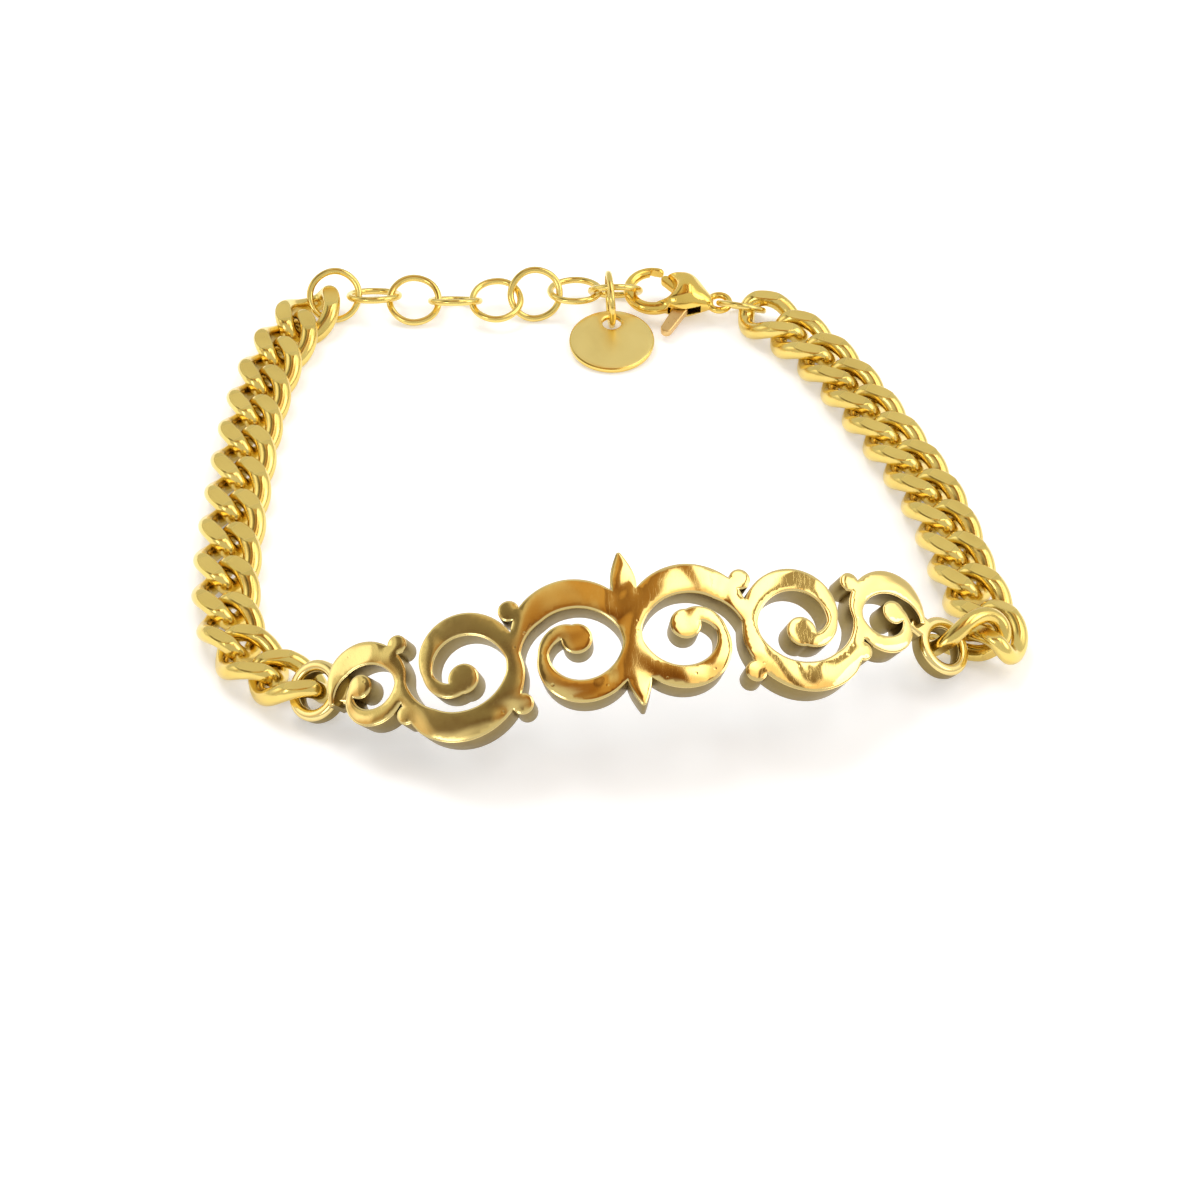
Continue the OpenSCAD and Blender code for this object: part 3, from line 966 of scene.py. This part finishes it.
def skinned(field, low, high, step):
    """Quads round the solid field, by the mean crossing of each cell, then drawn onto the surface."""
    axes = [np.arange(low[k], high[k] + step, step) for k in range(3)]
    value = field(*np.meshgrid(*axes, indexing="ij"))
    size = np.array(value.shape) - 1
    corners = [np.array((i, j, k)) for i in (0, 1) for j in (0, 1) for k in (0, 1)]
    filled = value < 0
    count = sum(
        filled[c[0]:c[0] + size[0], c[1]:c[1] + size[1], c[2]:c[2] + size[2]].astype(int) for c in corners
    )
    cells = np.argwhere((count > 0) & (count < 8))
    index = np.full(size, -1)
    index[tuple(cells.T)] = np.arange(len(cells))
    total = np.zeros((len(cells), 3))
    hits = np.zeros(len(cells))
    for a in corners:
        for k in range(3):
            if a[k]:
                continue
            b = a.copy()
            b[k] = 1
            fa = value[tuple((cells + a).T)]
            fb = value[tuple((cells + b).T)]
            hit = (fa < 0) != (fb < 0)
            t = np.where(hit, fa / np.where(hit, fa - fb, 1), 0)
            total += hit[:, None] * (a + t[:, None] * (b - a))
            hits += hit
    points = (cells + total / hits[:, None]) * step + np.array(low)
    faces = []
    for k in range(3):
        i, j = np.eye(3, dtype=int)[(k + 1) % 3], np.eye(3, dtype=int)[(k + 2) % 3]
        along = np.eye(3, dtype=int)[k]
        last = np.array(value.shape) - along
        here = filled[:last[0], :last[1], :last[2]]
        there = filled[along[0]:, along[1]:, along[2]:]
        spots = np.argwhere(here != there)
        spots = spots[((spots - i - j) >= 0).all(1) & (spots < size).all(1)]
        loop = [index[tuple((spots - d).T)] for d in (0 * i, i, i + j, j)]
        quads = np.stack(loop, 1)
        flip = filled[tuple(spots.T)]
        quads[flip] = quads[flip][:, ::-1]
        faces += [tuple(q) for q in quads.tolist()]
    # Two short steps along the slope draw the points onto the surface
    for _ in range(2):
        slope = gradient(field, points)
        steep = np.maximum((slope ** 2).sum(1), 0.25)
        points -= (np.clip(field(*points.T), -step / 3, step / 3) / steep)[:, None] * slope
    normals = gradient(field, points)
    normals /= np.maximum(np.linalg.norm(normals, axis=1)[:, None], 1e-9)
    return points, faces, normals


def gradient(field, points, reach=0.02):
    slope = []
    for k in range(3):
        d = np.zeros(3)
        d[k] = reach
        slope.append((field(*(points + d).T) - field(*(points - d).T)) / (2 * reach))
    return np.stack(slope, 1)


def add_clasp():
    step = SKIN_STEP
    # Node, field, low and high corners of the grid, body and slot
    rows = (
        ("clasp_body", body_field, (-5, -2.8, -1.51), (4.9, 2.9, 2), "bracelet", "clasp_gold"),
        ("clasp_lever", lever_field, (-1.9, -5.1, -0.6), (1.4, 1.9, 0.6), "lever", "lever_gold"),
    )
    for node, field, low, high, body, slot in rows:
        points, faces, normals = skinned(field, low, high, step)
        at = placed(points, CLASP_PLACE, (0, CLASP_LEAN))
        normals = normals @ turn(0, CLASP_LEAN).T
        tab = [int(body == "lever" and points[face[0]][1] < TAB_FROM) for face in faces]
        add_piece(node, at, faces, tab, [CLASP_GOLD, LEVER_TAB], body=body, normals=normals)


# Floor, light and camera

FLOOR_HALF = 1.5


def add_stage():
    h = FLOOR_HALF
    mesh = bpy.data.meshes.new("floor")
    mesh.from_pydata([(-h, -h, 0), (h, -h, 0), (h, h, 0), (-h, h, 0)], [], [(0, 1, 2, 3)])
    floor = bpy.data.objects.new("floor", mesh)
    bpy.context.scene.collection.objects.link(floor)
    t = Tree("floor_white")
    white = t.ramp(t.noise(t.place, 6, 2), [(0.3, (0.89, 0.90, 0.94)), (0.7, (0.91, 0.92, 0.95))])
    t.link(white, t.shader.inputs["Base Color"])
    t.shader.inputs["Roughness"].default_value = 0.7
    t.shader.inputs["Specular IOR Level"].default_value = 0.2
    t.shader.inputs["Emission Color"].default_value = (0.94, 0.97, 1, 1)
    t.shader.inputs["Emission Strength"].default_value = 0.27
    mesh.materials.append(t.material)


# Soft lights: place, size and power
LIGHTS = (
    ("key_soft", (-0.20, 0.32, 0.55), 0.40, 1.55),
    ("side_soft", (0.55, -0.10, 0.32), 0.30, 0.45),
    ("front_soft", (-0.40, -0.45, 0.35), 0.20, 0.35),
)


def add_lights():
    for name, place, size, power in LIGHTS:
        light = bpy.data.lights.new(name, "AREA")
        light.shape = "DISK"
        light.size = size
        light.energy = power
        lamp = bpy.data.objects.new(name, light)
        lamp.location = place
        lamp.visible_glossy = name != "key_soft"
        lamp.rotation_euler = (-Vector(place)).to_track_quat("-Z", "Y").to_euler()
        bpy.context.scene.collection.objects.link(lamp)


# World: a white room with a band overhead that is dim to the left, warm above and bright to the right
# Each row: place along X from -1 to 1, and the colour there
BAND = (
    (-1.0, (0.95, 0.95, 0.93)),
    (-0.88, (1.90, 1.88, 1.80)),
    (-0.80, (1.80, 1.76, 1.66)),
    (-0.77, (0.90, 0.88, 0.72)),
    (-0.68, (1.10, 1.08, 0.90)),
    (-0.62, (0.34, 0.30, 0.22)),
    (-0.36, (0.26, 0.22, 0.15)),
    (-0.31, (0.90, 0.80, 0.60)),
    (-0.22, (1.00, 0.84, 0.56)),
    (-0.14, (0.82, 0.50, 0.18)),
    (-0.02, (0.86, 0.50, 0.16)),
    (0.03, (0.42, 0.22, 0.07)),
    (0.13, (0.62, 0.34, 0.11)),
    (0.17, (0.80, 0.58, 0.34)),
    (0.21, (2.80, 2.75, 2.60)),
    (0.48, (3.60, 3.55, 3.40)),
    (0.51, (0.60, 0.50, 0.34)),
    (0.57, (0.55, 0.46, 0.32)),
    (0.60, (3.00, 2.95, 2.80)),
    (0.84, (1.80, 1.76, 1.66)),
    (1.0, (0.95, 0.95, 0.94)),
)
# The band's tint at the front and at the back, and the room's own white
FRONT = (0.60, 0.46, 0.34)
BACK = (1.1, 1.1, 1.1)
ROOM = (1.0, 0.99, 0.97)
# Where the tint turns, where the band fades out to front and back, and where it sets in with height
TINT_TURNS = (-0.26, 0.02)
BAND_DEPTH = (0.30, 0.46)
BAND_HEIGHT = (0.05, 0.35)
ROOM_STRENGTH = 0.72


def add_world():
    world = bpy.data.worlds.new("room")
    world.use_nodes = True
    bpy.context.scene.world = world
    nodes = world.node_tree.nodes
    links = world.node_tree.links

    def ranged(source, low, high, to_low=0.0, to_high=1.0, kind="SMOOTHSTEP"):
        node = nodes.new("ShaderNodeMapRange")
        node.interpolation_type = kind
        node.inputs["From Min"].default_value = low
        node.inputs["From Max"].default_value = high
        node.inputs["To Min"].default_value = to_low
        node.inputs["To Max"].default_value = to_high
        links.new(source, node.inputs["Value"])
        return node.outputs["Result"]

    def maths(operation, *sources):
        node = nodes.new("ShaderNodeMath")
        node.operation = operation
        for socket, source in zip(node.inputs, sources):
            links.new(source, socket)
        return node.outputs[0]

    def mixed(factor, first, second, kind="MIX"):
        """Two colours mixed. Each input is a number, a colour or an output."""
        node = nodes.new("ShaderNodeMixRGB")
        node.blend_type = kind
        for socket, value in (("Fac", factor), ("Color1", first), ("Color2", second)):
            if isinstance(value, float):
                node.inputs[socket].default_value = value
            elif isinstance(value, tuple):
                node.inputs[socket].default_value = (*value, 1)
            else:
                links.new(value, node.inputs[socket])
        return node.outputs["Color"]

    split = nodes.new("ShaderNodeSeparateXYZ")
    links.new(nodes.new("ShaderNodeTexCoord").outputs["Generated"], split.inputs["Vector"])
    x, y, z = (split.outputs[axis] for axis in "XYZ")
    band = nodes.new("ShaderNodeValToRGB")
    fill_ramp(band, [((place + 1) / 2, colour) for place, colour in BAND])
    links.new(ranged(x, -1, 1, kind="LINEAR"), band.inputs["Fac"])
    tint = mixed(ranged(y, *TINT_TURNS), FRONT, BACK)
    graded = mixed(1.0, band.outputs["Color"], tint, "MULTIPLY")
    depth = ranged(maths("ABSOLUTE", y), *BAND_DEPTH, 1.0, 0.0)
    height = ranged(z, *BAND_HEIGHT)
    room = mixed(maths("MULTIPLY", depth, height), ROOM, graded)
    links.new(room, nodes["Background"].inputs["Color"])
    nodes["Background"].inputs["Strength"].default_value = ROOM_STRENGTH


# Camera: aim point on the floor, elevation, distance, and lens and sensor in millimetres
AIM = (-0.00042, -0.01003, 0)
ELEVATION = 42.5
DISTANCE = 0.2269
LENS = 88.5
SENSOR = 36


def add_camera():
    data = bpy.data.cameras.new("photo_view")
    data.sensor_width = SENSOR
    data.lens = LENS
    data.clip_start = 0.01
    camera = bpy.data.objects.new("photo_view", data)
    e = math.radians(ELEVATION)
    camera.location = (AIM[0], AIM[1] - DISTANCE * math.cos(e), AIM[2] + DISTANCE * math.sin(e))
    camera.rotation_euler = (math.pi / 2 - e, 0, 0)
    bpy.context.scene.collection.objects.link(camera)
    bpy.context.scene.camera = camera


add_chains()
add_plate()
add_rings()
add_tag()
add_clasp()
add_stage()
add_lights()
add_world()
add_camera()
bpy.context.scene.view_settings.view_transform = "Standard"

bpy.context.view_layer.update()
